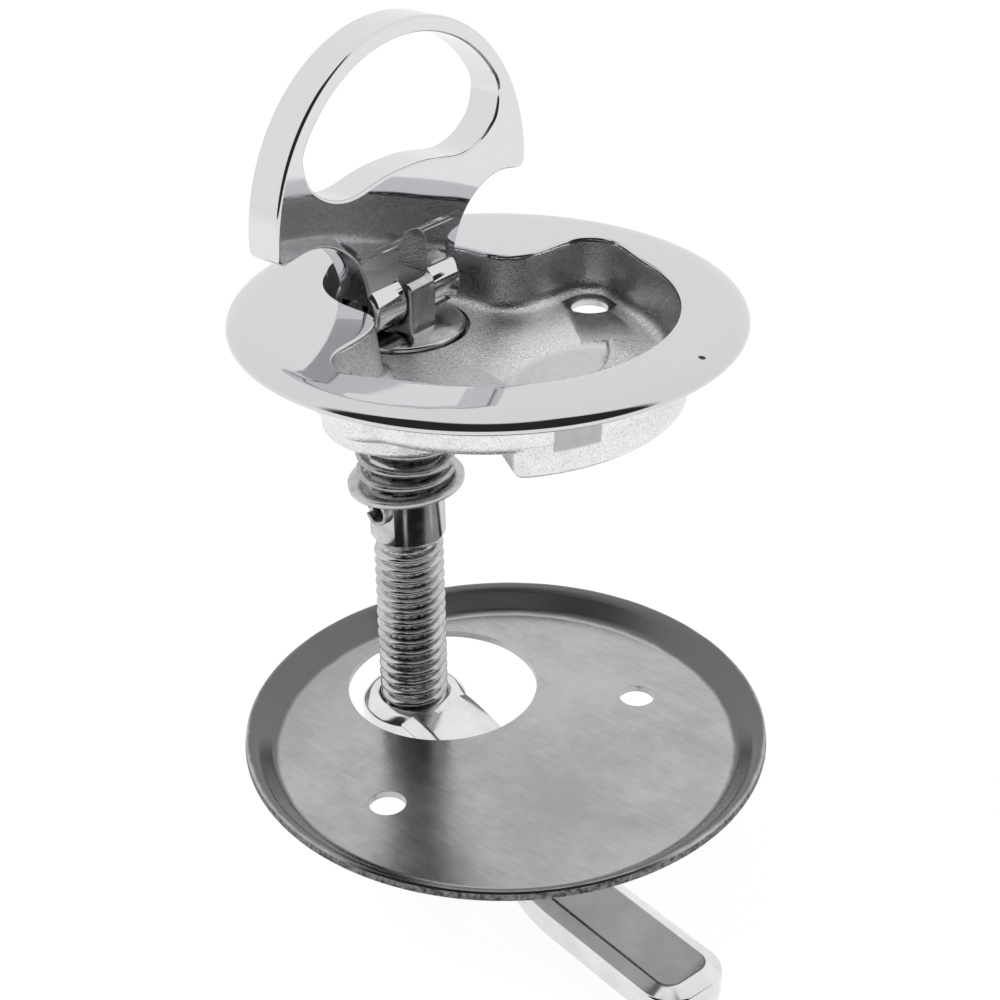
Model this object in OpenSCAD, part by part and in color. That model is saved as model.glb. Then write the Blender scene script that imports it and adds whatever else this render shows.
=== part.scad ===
/* [Flange body] */
// Diameter of the polished flange
flange_d = 76; // [74:0.5:84]
// Thickness of the flange at its rim
flange_t = 2.4; // [2:0.1:3]
// Depth of the recess floor below the flange's top
floor_depth = 8.6; // [8.2:0.1:9.6]
// Thickness of the recess floor
floor_t = 3.4; // [3:0.1:4.5]
// Radius of the cast cup wall under the flange
cup_r = 29.6; // [29.2:0.1:31]
// Distance from the flange's centre to the spindle's axis
spindle_offset = 17.5; // [17:0.1:18]
// Distance between the two screw holes
screw_spacing = 49.2; // [48:0.1:50]
// Diameter of each screw hole
screw_d = 5.8; // [4.5:0.1:6]
// Length of the spindle boss below the flange
boss_drop = 22.6; // [20:0.1:24]
// Radius of the spindle boss
boss_r = 12.8; // [12:0.1:13.5]

/* [Handle] */
// Outer radius of the ring
ring_r = 26.8; // [26:0.1:27]
// Height of the ring's centre above the hinge pin
ring_rise = 14.7; // [14:0.1:15]
// Radial width of the ring at its top
ring_band = 2.4; // [2.2:0.1:3]
// Thickness of the handle casting
handle_t = 6; // [5:0.1:6]
// Half width of the forked foot
foot_half = 9.5; // [8.5:0.1:10]
// Width of the slot in the foot
slot_w = 6.3; // [6.2:0.1:7]
// Height of the hinge pin below the flange's top
pin_drop = 3; // [3:0.05:3.2]
// Diameter of the hinge pin
pin_d = 3.2; // [2.5:0.1:3.6]

/* [Spindle] */
// Diameter of the smooth shank
shank_d = 12.2; // [11.6:0.1:12.6]
// Outer diameter of the thread
thread_d = 11.4; // [10:0.1:11.4]
// Diameter of the seat disc at the head
seat_d = 20; // [18:0.5:20]
// Width of the tongue that fills the handle's slot
tongue_w = 5.6; // [5:0.1:5.7]
// Height of the end of the smooth shank below the flange
shank_drop = 42.3; // [40:0.1:44]

/* [Spring and washer] */
// Wire diameter of the spring
wire_d = 1.3; // [1:0.1:1.4]
// Outer diameter of the spring
spring_d = 15.8; // [15.4:0.1:16.4]
// Outer diameter of the washer
washer_d = 18.7; // [17.5:0.1:20]
// Diameter of the slotted cross pin
cross_pin_d = 4.4; // [3:0.1:4.6]

/* [Cam bar] */
// Diameter of the hub
hub_d = 17.8; // [17:0.1:19]
// Height of the hub
hub_h = 8; // [7:0.1:9]
// Width of the bar
bar_w = 14; // [12:0.1:14.6]
// Thickness of the bar
bar_t = 5.4; // [4.5:0.1:6]
// Reach of the bar from the spindle's axis to its tip
bar_reach = 70; // [66:0.5:74]
// Step down from the hub's arm to the end pad
crank_drop = 14.6; // [12:0.1:17]
// Turn of the bar about the spindle, away from the flange's long axis
bar_turn = -11; // [-14:0.5:0]

/* [Back plate] */
// Diameter of the dished plate
plate_d = 84; // [80:0.5:88]
// Thickness of the plate's sheet
plate_t = 1.2; // [0.8:0.1:1.4]
// Height of the plate's rim above its floor
rim_h = 3.8; // [3:0.1:4.5]
// Diameter of the spindle hole in the plate
plate_hole_d = 32; // [30:0.5:33]
// Turn of the loose plate about its screw holes' centre
plate_turn = -15.9; // [-20:0.1:0]

/* [Hidden] */
$fn = 96;

// Running clearance of shafts in their holes, and how far a cut passes the face that it opens
run_gap = 0.05;
cut = 0.5;
// Length of a cut that passes the whole piece
through = 40;

// Height of the flange's underside above the cup's, where the screw holes end and the heights start
face_z = floor_depth + floor_t - flange_t;

// Levels, measured from the flange's underside
floor_z = flange_t - floor_depth;
cup_z = floor_z - floor_t;
pin_z = flange_t - pin_drop;
spindle_x = -spindle_offset;

// Seat disc in its counterbore
seat_t = 2.5;
seat_z = floor_z + 0.6 - seat_t;
counterbore_z = seat_z - 0.1;
counterbore_r = seat_d / 2 + 0.7;

// Rubber ring in its groove in the boss
seal_wire = 2;
seal_z = counterbore_z - 4;

// Recess outline: far arc, screw lobes, shoulders and the pocket round the hinge
recess_r = 27.8;
recess_near_x = -4.8;
lobe_r = 5.5;
lobe_wall = 2.6;
pocket_x = -14;
pocket_r = 13.7;
shoulder = [[-14, 13.7], [-9.6, 13.9], [-7.6, 15.4], [-6.3, 18], [-5.6, 21], [-5.1, 24.6],
            [-3.9, 28.2], [0, 28.2]];

// Finger scoop at the far end of the recess
scoop_in_r = 19;
scoop_depth = 1.8;
scoop_half = 17;
lug_drop = 1.9;

// Rounded rim of the flange, from its underside up, and the gentle dome of its face
rim_curve = [[-0.8, 0], [-0.15, 0.5], [0, 1.1], [-0.25, 1.7]];
edge_round = 1;
dome_rise = 0.5;
dome_drop = 0.35;

// Countersink round each screw hole
sink_r = screw_d / 2 + 1.3;
sink_depth = 1.2;
wall_grow = 1.2;

// Handle outline, measured from the hinge pin
corner_z = 14;
corner_y = 26.2;
neck_r = 11.7;
neck_z = 1.9;
foot_r = 4.2;
arch_z = 7.3;
hole_r = ring_r - ring_band;
hole_side = [[20.6, 25.2], [20, 23], [18.4, 21.2], [16, 19.7], [13, 18.9], [10, 19], [7, 19.6],
             [3.5, 20.1], [0, 20.2]];
hole_top_start = 34;

// How far each end of the hinge pin lies inside the foot
pin_set_in = 0.2;

// Tongue of the spindle
tongue_half = 5;

// Thread run-out groove and the spindle's lower end
groove_h = 1.2;
groove_r = thread_d / 2 - 1;
spindle_end = 85.2;
end_chamfer = 1.2;
tip_r = thread_d / 2 - end_chamfer;

// Cross pin, washer and spring, stacked upwards
cross_z = -36;
cross_len = shank_d + 2.4;
cross_wall = 0.8;
cross_slit = 0.8;
washer_t = 1.2;
washer_bore = shank_d + 0.8;
washer_tilt = 4;
washer_high_side = 40;
washer_gap = 0.45;
washer_z = cross_z + cross_pin_d / 2 + washer_gap + washer_t / 2;
coil_r = (spring_d - wire_d) / 2;
coil_turns = 3.5;
coil_top = -boss_drop - wire_d / 2 - run_gap;
coil_bottom = washer_z + washer_t / 2 + wire_d / 2 + run_gap;
coil_start = 300;
coil_closed = 0.75;
coil_steps = 24;
wire_sides = 10;

// Cam bar levels
hub_top = -73.6;
arm_top = -75;
arm_level_to = 15;
pad_from = 38;
bar_chamfer_h = 1.1;
bar_chamfer_w = 2.6;
hub_chamfer = 1;

// Lock nut under the hub
nut_h = 3;
nut_af = 17;

// Back plate levels and centres
plate_z = arm_top + 0.3;
plate_floor_r = plate_d / 2 - 4.8;
plate_lip = 1.3;
plate_screw_x = 6.4;
plate_screw_y = -1.9;
rim_centre_x = -3.2;
plate_hole_x = -22;

// A point at a given distance and angle
function polar(r, a) = [r * cos(a), r * sin(a)];

// One point of a smooth curve through four neighbours
function spline_point(a, b, c, d, t) =
    0.5 * (2 * b + (c - a) * t + (2 * a - 5 * b + 4 * c - d) * t * t + (3 * b - a - 3 * c + d) * t * t * t);

// A smooth open curve through a short list of points
function smooth(p, n) = [
    for (i = [0:len(p) - 2], k = [0:n - 1])
        spline_point(p[max(i - 1, 0)], p[i], p[i + 1], p[min(i + 2, len(p) - 1)], k / n),
    p[len(p) - 1]
];

// The same list mirrored to the other side and reversed
function other_side(p) = [for (i = [len(p) - 1:-1:0]) [-p[i][0], p[i][1]]];

// A washer-like ring
module ring(outer, inner, h) {
    difference() {
        cylinder(r = outer, h = h);
        translate([0, 0, -cut]) cylinder(r = inner, h = h + 2 * cut);
    }
}

// Recess seen from above
module recess_outline() {
    half = smooth(shoulder, 6);
    intersection() {
        circle(r = recess_r, $fn = 160);
        translate([recess_near_x, -recess_r]) square([2 * recess_r, 2 * recess_r]);
    }
    translate([pocket_x, 0]) circle(r = pocket_r);
    for (s = [-1, 1]) translate([0, s * screw_spacing / 2]) circle(r = lobe_r, $fn = 64);
    polygon([for (p = half) p, for (i = [len(half) - 1:-1:0]) [half[i][0], -half[i][1]]]);
}

// Crescent floor of the finger scoop
module scoop_outline(grow) {
    intersection() {
        difference() {
            circle(r = recess_r + grow, $fn = 160);
            circle(r = scoop_in_r - grow, $fn = 128);
        }
        translate([0, -scoop_half - grow]) square([recess_r + 2 * grow, 2 * (scoop_half + grow)]);
    }
}

module flange_disc() {
    r = flange_d / 2;
    dome = [for (k = [0:10]) let (u = k / 10) [(r - edge_round) * (1 - u),
                                               flange_t - dome_drop + dome_rise * (1 - (1 - u) * (1 - u))]];
    rotate_extrude($fn = 180) polygon(concat([[0, 0]], [for (p = rim_curve) p + [r, 0]], dome));
}

module flange_body() {
    color([0.8, 0.8, 0.81])
    translate([0, 0, face_z])
    difference() {
        union() {
            flange_disc();
            translate([0, 0, cup_z]) cylinder(r = cup_r, h = -cup_z + cut, $fn = 160);
            for (s = [-1, 1]) translate([0, s * screw_spacing / 2, cup_z])
                cylinder(r = lobe_r + lobe_wall, h = -cup_z + cut, $fn = 64);
            translate([0, 0, cup_z - lug_drop]) linear_extrude(lug_drop + cut) scoop_outline(wall_grow);
            translate([spindle_x, 0, -boss_drop]) cylinder(r = boss_r, h = boss_drop + cut);
        }
        translate([0, 0, floor_z]) linear_extrude(through) recess_outline();
        translate([0, 0, floor_z - scoop_depth]) linear_extrude(scoop_depth + cut) scoop_outline(0);
        for (s = [-1, 1]) translate([0, s * screw_spacing / 2, 0]) {
            translate([0, 0, cup_z - cut]) cylinder(d = screw_d, h = floor_t + 2 * cut, $fn = 64);
            translate([0, 0, floor_z - sink_depth])
                cylinder(r1 = screw_d / 2, r2 = sink_r, h = sink_depth, $fn = 64);
        }
        translate([spindle_x, 0, counterbore_z]) cylinder(r = counterbore_r, h = through);
        translate([spindle_x, 0, -boss_drop - cut]) cylinder(d = shank_d + 2 * run_gap, h = boss_drop);
        translate([spindle_x, 0, seal_z - seal_wire / 2])
            cylinder(r = shank_d / 2 + seal_wire, h = seal_wire);
    }
}

// Front view of the handle, pin at the origin
module handle_outline() {
    top = [for (a = [-2:4:90]) polar(ring_r, a) + [0, ring_rise]];
    neck = [for (a = [180:-7:96]) polar(neck_r, a) + [foot_half + neck_r, neck_z]];
    side = concat([[foot_half, 0]], neck, [[corner_y - 1, corner_z - 1], [corner_y, corner_z - 0.6]], top);
    polygon(concat(side, other_side(side)));
}

// Bean-shaped finger hole
module finger_hole() {
    top = [for (a = [90:-4:hole_top_start]) polar(hole_r, a) + [0, ring_rise]];
    side = concat(top, smooth(hole_side, 4));
    polygon(concat(side, other_side(side)));
}

module handle() {
    color([0.82, 0.82, 0.83])
    translate([spindle_x, 0, face_z + pin_z])
    difference() {
        union() {
            rotate([90, 0, 90]) translate([0, 0, -handle_t / 2]) linear_extrude(handle_t) handle_outline();
            rotate([90, 0, 0]) cylinder(r = foot_r, h = 2 * foot_half, center = true);
        }
        rotate([90, 0, 90]) linear_extrude(through, center = true) finger_hole();
        translate([-through / 2, -slot_w / 2, arch_z - through]) cube([through, slot_w, through]);
        translate([0, 0, arch_z]) rotate([0, 90, 0])
            cylinder(d = slot_w, h = through, center = true, $fn = 48);
        rotate([90, 0, 0]) cylinder(d = pin_d + 2 * run_gap, h = through, center = true, $fn = 48);
    }
}

module hinge_pin() {
    color([0.7, 0.7, 0.71])
    translate([spindle_x, 0, face_z + pin_z]) rotate([90, 0, 0])
        cylinder(d = pin_d, h = 2 * (foot_half - pin_set_in), center = true, $fn = 48);
}

module spindle() {
    color([0.72, 0.72, 0.73])
    translate([spindle_x, 0, face_z])
    difference() {
        union() {
            translate([0, 0, seat_z]) cylinder(d = seat_d, h = seat_t);
            translate([-tongue_half, -tongue_w / 2, seat_z])
                cube([2 * tongue_half, tongue_w, pin_z - seat_z]);
            translate([0, 0, pin_z]) rotate([90, 0, 0])
                cylinder(r = tongue_half, h = tongue_w, center = true, $fn = 64);
            translate([0, 0, -shank_drop]) cylinder(d = shank_d, h = shank_drop + seat_z + cut);
            translate([0, 0, -shank_drop - groove_h]) cylinder(r = groove_r, h = groove_h + cut);
            translate([0, 0, -spindle_end + end_chamfer])
                cylinder(d = thread_d, h = spindle_end - end_chamfer - shank_drop - groove_h);
            translate([0, 0, -spindle_end]) cylinder(r1 = tip_r, r2 = thread_d / 2, h = end_chamfer);
        }
        translate([0, 0, pin_z]) rotate([90, 0, 0]) cylinder(d = pin_d, h = through, center = true, $fn = 48);
        translate([0, 0, cross_z]) rotate([90, 0, 0])
            cylinder(d = cross_pin_d, h = through, center = true, $fn = 48);
    }
}

module seal_ring() {
    color([0.06, 0.06, 0.06])
    translate([spindle_x, 0, face_z + seal_z])
        rotate_extrude() translate([(shank_d + seal_wire) / 2, 0]) circle(d = seal_wire - run_gap, $fn = 32);
}

// Tilt of the washer, felt more by each lower turn of the spring
function lean(p, share) =
    share * tan(washer_tilt) * (cos(washer_high_side) * p[0] + sin(washer_high_side) * p[1]);

// Height of the wire's centre: closed at both ends and open between
function coil_height(u) =
    let (closed = coil_closed / coil_turns,
         rise = wire_d * 0.8,
         span = coil_top - coil_bottom - 2 * rise)
    u < closed ? coil_top - rise * u / closed
    : u > 1 - closed ? coil_bottom + rise * (1 - u) / closed
    : coil_top - rise - span * (u - closed) / (1 - 2 * closed);

function coil_point(u, k) =
    let (a = coil_start + 360 * coil_turns * u,
         b = 360 * k / wire_sides,
         flat = polar(coil_r + wire_d / 2 * cos(b), a))
    [flat[0], flat[1], coil_height(u) + wire_d / 2 * sin(b) + lean(flat, u * u)];

module spring() {
    rings = round(coil_turns * coil_steps);
    points = [for (i = [0:rings], k = [0:wire_sides - 1]) coil_point(i / rings, k)];
    sides = [for (i = [0:rings - 1], k = [0:wire_sides - 1])
                 let (n = (k + 1) % wire_sides, row = i * wire_sides, next = row + wire_sides)
                 [row + k, row + n, next + n, next + k]];
    first = [for (k = [wire_sides - 1:-1:0]) k];
    last = [for (k = [0:wire_sides - 1]) rings * wire_sides + k];
    color([0.62, 0.62, 0.63])
    translate([spindle_x, 0, face_z])
        polyhedron(points = points, faces = concat([first, last], sides), convexity = 6);
}

module spring_washer() {
    color([0.66, 0.66, 0.67])
    translate([spindle_x, 0, face_z + washer_z]) rotate([0, 0, washer_high_side]) rotate([0, -washer_tilt, 0])
        translate([0, 0, -washer_t / 2]) ring(washer_d / 2, washer_bore / 2, washer_t);
}

module cross_pin() {
    color([0.5, 0.5, 0.5])
    translate([spindle_x, 0, face_z + cross_z]) rotate([90, 0, 0])
    difference() {
        cylinder(d = cross_pin_d, h = cross_len, center = true, $fn = 48);
        cylinder(d = cross_pin_d - 2 * cross_wall, h = through, center = true, $fn = 48);
        translate([0, -cross_slit / 2, -cross_len]) cube([cross_pin_d, cross_slit, 2 * cross_len]);
    }
}

// Cross-section of the bar, top at the origin, both top edges chamfered
module bar_section() {
    half = bar_w / 2;
    polygon([[-half, -bar_t], [half, -bar_t], [half, -bar_chamfer_h], [half - bar_chamfer_w, 0],
             [bar_chamfer_w - half, 0], [-half, -bar_chamfer_h]]);
}

// A straight run of the bar from the origin along X
module bar_run(length) {
    rotate([90, 0, 90]) linear_extrude(length) bar_section();
}

// Side view of one run, cut square to the mitre at each end
module bar_side(x1, x2, lean1, lean2) {
    rotate([90, 0, 0]) linear_extrude(through, center = true)
        polygon([[x1 - through * tan(lean1), -through], [x2 - through * tan(lean2), -through],
                 [x2 + through * tan(lean2), through], [x1 + through * tan(lean1), through]]);
}

// Rounded end of the bar, turned about its own centre
module bar_end() {
    rotate_extrude($fn = 96) intersection() {
        bar_section();
        translate([0, -bar_t]) square([bar_w, bar_t]);
    }
}

module cranked_bar() {
    slope = atan2(crank_drop, pad_from - arm_level_to);
    slope_run = (pad_from - arm_level_to) / cos(slope);
    end_x = bar_reach - bar_w / 2;
    translate([0, 0, arm_top]) intersection() {
        bar_run(arm_level_to + bar_t);
        translate([arm_level_to, 0, 0]) bar_side(-arm_level_to, 0, 0, slope / 2);
    }
    translate([arm_level_to, 0, arm_top]) intersection() {
        rotate([0, slope, 0]) translate([-bar_t, 0, 0]) bar_run(slope_run + 2 * bar_t);
        bar_side(0, through, slope / 2, 0);
        translate([pad_from - arm_level_to, 0, -crank_drop]) bar_side(-through, 0, 0, slope / 2);
    }
    translate([0, 0, arm_top - crank_drop]) {
        intersection() {
            translate([pad_from - bar_t, 0, 0]) bar_run(end_x - pad_from + bar_t);
            translate([pad_from, 0, 0]) bar_side(0, end_x - pad_from, slope / 2, 0);
        }
        translate([end_x, 0, 0]) bar_end();
    }
}

module cam_bar() {
    color([0.83, 0.83, 0.84])
    translate([spindle_x, 0, face_z])
    difference() {
        union() {
            translate([0, 0, hub_top - hub_h]) cylinder(d = hub_d, h = hub_h - hub_chamfer);
            translate([0, 0, hub_top - hub_chamfer])
                cylinder(d1 = hub_d, d2 = hub_d - 2 * hub_chamfer, h = hub_chamfer);
            rotate([0, 0, bar_turn]) cranked_bar();
        }
        translate([0, 0, hub_top - hub_h - cut]) cylinder(d = thread_d + 2 * run_gap, h = hub_h + 2 * cut);
    }
}

module lock_nut() {
    color([0.68, 0.68, 0.69])
    translate([spindle_x, 0, face_z + hub_top - hub_h - nut_h])
    difference() {
        cylinder(d = nut_af / cos(30), h = nut_h, $fn = 6);
        translate([0, 0, -cut]) cylinder(d = thread_d + 2 * run_gap, h = nut_h + 2 * cut);
    }
}

module back_plate() {
    r = plate_d / 2;
    color([0.5, 0.5, 0.5])
    translate([plate_screw_x, plate_screw_y, face_z + plate_z]) rotate([0, 0, plate_turn])
    difference() {
        translate([rim_centre_x, 0, 0]) rotate_extrude($fn = 180) polygon([
            [0, 0], [plate_floor_r + plate_t / 3, 0], [r - plate_lip, rim_h - 0.7 * plate_lip], [r, rim_h],
            [r - plate_t / 4, rim_h + plate_t],
            [r - plate_lip - plate_t / 2, rim_h + plate_t - 0.7 * plate_lip],
            [plate_floor_r, plate_t], [0, plate_t]]);
        translate([plate_hole_x, 0, -cut]) cylinder(d = plate_hole_d, h = plate_t + 2 * cut);
        for (s = [-1, 1]) translate([0, s * screw_spacing / 2, -cut])
            cylinder(d = screw_d, h = plate_t + 2 * cut, $fn = 64);
    }
}

flange_body();
handle();
hinge_pin();
spindle();
seal_ring();
spring();
spring_washer();
cross_pin();
cam_bar();
lock_nut();
back_plate();
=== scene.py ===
import math
import bpy
from mathutils import Matrix, Vector


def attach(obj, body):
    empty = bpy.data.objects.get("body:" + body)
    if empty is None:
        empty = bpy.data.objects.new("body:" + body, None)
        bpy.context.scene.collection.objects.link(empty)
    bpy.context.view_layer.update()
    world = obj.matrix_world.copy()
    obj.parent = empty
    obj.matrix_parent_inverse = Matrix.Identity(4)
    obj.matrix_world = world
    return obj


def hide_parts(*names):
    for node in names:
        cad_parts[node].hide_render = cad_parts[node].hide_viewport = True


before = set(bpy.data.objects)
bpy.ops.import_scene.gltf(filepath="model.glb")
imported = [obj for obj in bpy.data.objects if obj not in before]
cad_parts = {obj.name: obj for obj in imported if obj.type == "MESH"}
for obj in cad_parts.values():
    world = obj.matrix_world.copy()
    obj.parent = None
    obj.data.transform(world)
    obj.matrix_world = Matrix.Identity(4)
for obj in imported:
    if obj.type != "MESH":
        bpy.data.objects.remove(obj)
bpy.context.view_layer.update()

# Flange body: one stainless investment casting. The round face is mirror polished, the recess
# for the folded handle stays rough from the mould, and the cup, the boss and the lug hang below.
# It is drawn as closed loops that run from the recess floor over the face down to the cup.


def only(piece):
    bpy.ops.object.select_all(action="DESELECT")
    piece.hide_set(False)
    piece.select_set(True)
    bpy.context.view_layer.objects.active = piece


def on_circle(centre, radius, first, last, count):
    turns = [math.radians(first + (last - first) * k / count) for k in range(count)]
    return [(centre[0] + radius * math.cos(a), centre[1] + radius * math.sin(a)) for a in turns]


def through(points, count):
    curve = []
    for i in range(len(points) - 1):
        a, b = points[max(i - 1, 0)], points[i]
        c, d = points[i + 1], points[min(i + 2, len(points) - 1)]
        for k in range(count):
            t = k / count
            curve.append(tuple(
                0.5 * (2 * b[j] + (c[j] - a[j]) * t + (2 * a[j] - 5 * b[j] + 4 * c[j] - d[j]) * t * t
                       + (3 * b[j] - a[j] - 3 * c[j] + d[j]) * t ** 3) for j in (0, 1)))
    return curve + [points[-1]]


def evenly(points, count):
    steps = [math.dist(points[i], points[(i + 1) % len(points)]) for i in range(len(points))]
    stride = sum(steps) / count
    spots, walked, i = [], 0.0, 0
    for k in range(count):
        while walked + steps[i] < k * stride:
            walked += steps[i]
            i += 1
        t = (k * stride - walked) / steps[i]
        p, q = points[i], points[(i + 1) % len(points)]
        spots.append((p[0] + (q[0] - p[0]) * t, p[1] + (q[1] - p[1]) * t))
    return spots


def softened(points, passes):
    for _ in range(passes):
        points = [tuple(0.25 * points[i - 1][j] + 0.5 * points[i][j] + 0.25 * points[(i + 1) % len(points)][j]
                        for j in (0, 1)) for i in range(len(points))]
    return points


def moved_in(points, distance):
    spots = []
    for i, p in enumerate(points):
        q, r = points[i - 2], points[(i + 2) % len(points)]
        along = Vector((r[0] - q[0], r[1] - q[1])).normalized()
        spots.append((p[0] - along.y * distance, p[1] + along.x * distance))
    return spots


def shell(name, loops):
    count = len(loops[0])
    spots = [p for loop in loops for p in loop]
    faces = []
    for k in range(len(loops) - 1):
        for i in range(count):
            n = (i + 1) % count
            faces.append((k * count + i, k * count + n, (k + 1) * count + n, (k + 1) * count + i))
    faces.append(tuple(range(count - 1, -1, -1)))
    faces.append(tuple((len(loops) - 1) * count + i for i in range(count)))
    mesh = bpy.data.meshes.new(name)
    mesh.from_pydata(spots, [], faces)
    piece = bpy.data.objects.new(name, mesh)
    bpy.context.collection.objects.link(piece)
    only(piece)
    bpy.ops.object.mode_set(mode="EDIT")
    bpy.ops.mesh.select_all(action="SELECT")
    bpy.ops.mesh.normals_make_consistent(inside=False)
    bpy.ops.object.mode_set(mode="OBJECT")
    return piece


def cut_by(piece, tool, operation="DIFFERENCE"):
    only(piece)
    bpy.ops.object.modifier_add(type="BOOLEAN")
    step = piece.modifiers[-1]
    step.operation = operation
    step.solver = "EXACT"
    step.object = tool
    bpy.ops.object.modifier_apply(modifier=step.name)
    bpy.data.objects.remove(tool, do_unlink=True)


def rod(radius, low, high, place=(0, 0), count=96, top_radius=None):
    bpy.ops.object.select_all(action="DESELECT")
    bpy.ops.mesh.primitive_cone_add(
        vertices=count, radius1=radius, radius2=radius if top_radius is None else top_radius,
        depth=high - low, location=(place[0], place[1], (low + high) / 2))
    bpy.ops.object.transform_apply(location=True, rotation=True, scale=True)
    return bpy.context.object


def to_metres(piece, name):
    only(piece)
    piece.data.transform(Matrix.Scale(0.001, 4) @ Matrix.Translation((0, 0, 9.6)))
    piece.name = name
    piece.data.name = name


recess_r = 27.8
cup_r = 29.6
floor_z = -6.2
cup_z = -8.0
spindle_x = -17.5
screw_y = 24.6

half = on_circle((0, 0), recess_r, 0, 68, 80)
half += through([(10.41, 25.78), (7.9, 26.75), (5.4, 28), (3.16, 29.1)], 8)[:-1]
half += on_circle((0, screw_y), 5.5, 55, 180, 34)
half += through([(-5.6, 22.8), (-5.8, 21), (-6.4, 18), (-7.7, 15.4), (-9.8, 13.9), (-14, 13.7)], 12)
half += on_circle((-14, 0), 13.7, 91, 180, 45) + [(-27.7, 0)]
recess = half + [(x, -y) for x, y in reversed(half[1:-1])]
recess = softened(evenly(recess, 360), 14)


def face_z(x, y):
    return 2.52 - 0.12 * (x * x + y * y) / 34.8 ** 2


loops = [[(x, y, floor_z) for x, y in softened(moved_in(recess, d), 6)] for d in (4.0, 3.1)]
for turn in (0, 22.5, 45, 67.5, 90):
    a = math.radians(turn)
    loop = softened(moved_in(recess, 0.7 + 2.0 * (1 - math.sin(a))), 2)
    loops.append([(x, y, floor_z + 2.0 * (1 - math.cos(a))) for x, y in loop])
loops.append([(x, y, -1.0) for x, y in moved_in(recess, 0.35)])
edge = 0.4
for turn in (0, 22.5, 45, 67.5, 90):
    a = math.radians(turn)
    loop = moved_in(recess, -edge * (1 - math.cos(a)))
    loops.append([(x, y, face_z(x, y) - edge * (1 - math.sin(a))) for x, y in loop])
lip = moved_in(recess, -edge)
rim_turns = []
for i, (x, y) in enumerate(lip):
    seen = math.atan2(y, x + 4)
    even = 2 * math.pi * i / len(lip)
    if seen < even - math.pi:
        seen += 2 * math.pi
    rim_turns.append(0.6 * seen + 0.4 * even)
rim = [(math.cos(a), math.sin(a)) for a in rim_turns]
for t in (0.1, 0.25, 0.4, 0.55, 0.7, 0.85, 1.0):
    loop = [(x + (c * 34.7 - x) * t, y + (s * 34.7 - y) * t) for (x, y), (c, s) in zip(lip, rim)]
    loops.append([(x, y, face_z(x, y)) for x, y in loop])
radius, z = 34.82, 2.385
for bend, first, last, steps in ((5.0, 3, 30, 6), (1.6, 30, 75, 6), (0.72, 75, 150, 8)):
    for k in range(steps):
        turn = math.radians(first + (last - first) * (k + 0.5) / steps)
        loops.append([(c * radius, s * radius, z) for c, s in rim])
        stride = bend * math.radians((last - first) / steps)
        radius += stride * math.cos(turn)
        z -= stride * math.sin(turn)
loops += [[(c * radius, s * radius, 0) for c, s in rim], [(c * 36.6, s * 36.6, 0) for c, s in rim]]
cup = []
for c, s in rim:
    reach = cup_r
    aside = abs(c) * screw_y
    if aside < 6.9:
        reach = max(reach, abs(s) * screw_y + math.sqrt(6.9 ** 2 - aside ** 2))
    cup.append((c * reach, s * reach))
cup = softened(cup, 4)
profile = [(1.4, 0), (0.75, -0.1), (0.3, -0.4), (0.05, -0.9), (0, -3)]
profile += [(-2.5 * (1 - math.cos(a)), cup_z + 2.5 * (1 - math.sin(a)))
            for a in (math.radians(11.25 * k) for k in range(9))]
for grow, z in profile:
    loops.append([(x, y, z) for x, y in moved_in(cup, -grow)])
flange = shell("flange", loops)


def crescent(outer_r, inner_r, half_turn):
    outer = on_circle((0, 0), outer_r, -half_turn, half_turn, 60)
    inner = on_circle((0, 0), inner_r, half_turn + 8, -half_turn - 8, 60)
    return softened(evenly(outer + inner, 160), 6)


# The lug's block ends above the recess floor and leaves a step round the scoop, which the real latch hasn't
outline = crescent(29.4, 17.4, 43)
lug = shell("lug", [[(x, y, cup_z - 3.2) for x, y in outline], [(x, y, cup_z + 3) for x, y in outline]])
only(lug)
bpy.ops.object.modifier_add(type="BEVEL")
lug.modifiers[-1].width = 1.4
lug.modifiers[-1].segments = 4
lug.modifiers[-1].angle_limit = math.radians(60)
bpy.ops.object.modifier_apply(modifier=lug.modifiers[-1].name)
cut_by(flange, lug, "UNION")
boss = rod(12.8, -22.6, -8, (spindle_x, 0))
only(boss)
bpy.ops.object.modifier_add(type="BEVEL")
boss.modifiers[-1].width = 0.8
boss.modifiers[-1].segments = 3
bpy.ops.object.modifier_apply(modifier=boss.modifiers[-1].name)
cut_by(flange, boss, "UNION")
# Finger scoop: it starts at an arc in the floor and slopes down towards the far wall
outline = on_circle((0, 0), 26, -30, 46, 40) + on_circle((21.2, 3), 16, 101, 275, 50)
outline = softened(evenly(outline, 160), 3)
scoop = []
for d, part in ((1.6, 1), (1.0, 0.9), (0.5, 0.6), (0.1, 0.15), (-0.3, -0.5)):
    scoop.append([(x, y, floor_z - part * (0.25 + 0.065 * (x - 4))) for x, y in moved_in(outline, d)])
cut_by(flange, shell("scoop", scoop))
for side in (-1, 1):
    cut_by(flange, rod(2.9, cup_z - 1, floor_z + 1, (0, side * screw_y), 64))
    cut_by(flange, rod(2.85, floor_z - 0.9, floor_z + 0.1, (0, side * screw_y), 64, 4.35))
cut_by(flange, rod(10.7, -8.2, 4, (spindle_x, 0)))
cut_by(flange, rod(6.15, -23, -7, (spindle_x, 0)))
only(flange)
bpy.ops.object.shade_smooth_by_angle(angle=math.radians(38))
to_metres(flange, "latch_body")


def output_group(name, outputs):
    group = bpy.data.node_groups.new(name, "ShaderNodeTree")
    group.interface.new_socket("Position", in_out="INPUT", socket_type="NodeSocketVector")
    for label, kind in outputs:
        group.interface.new_socket(label, in_out="OUTPUT", socket_type=kind)
    return group, group.nodes.new("NodeGroupInput"), group.nodes.new("NodeGroupOutput")


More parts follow.
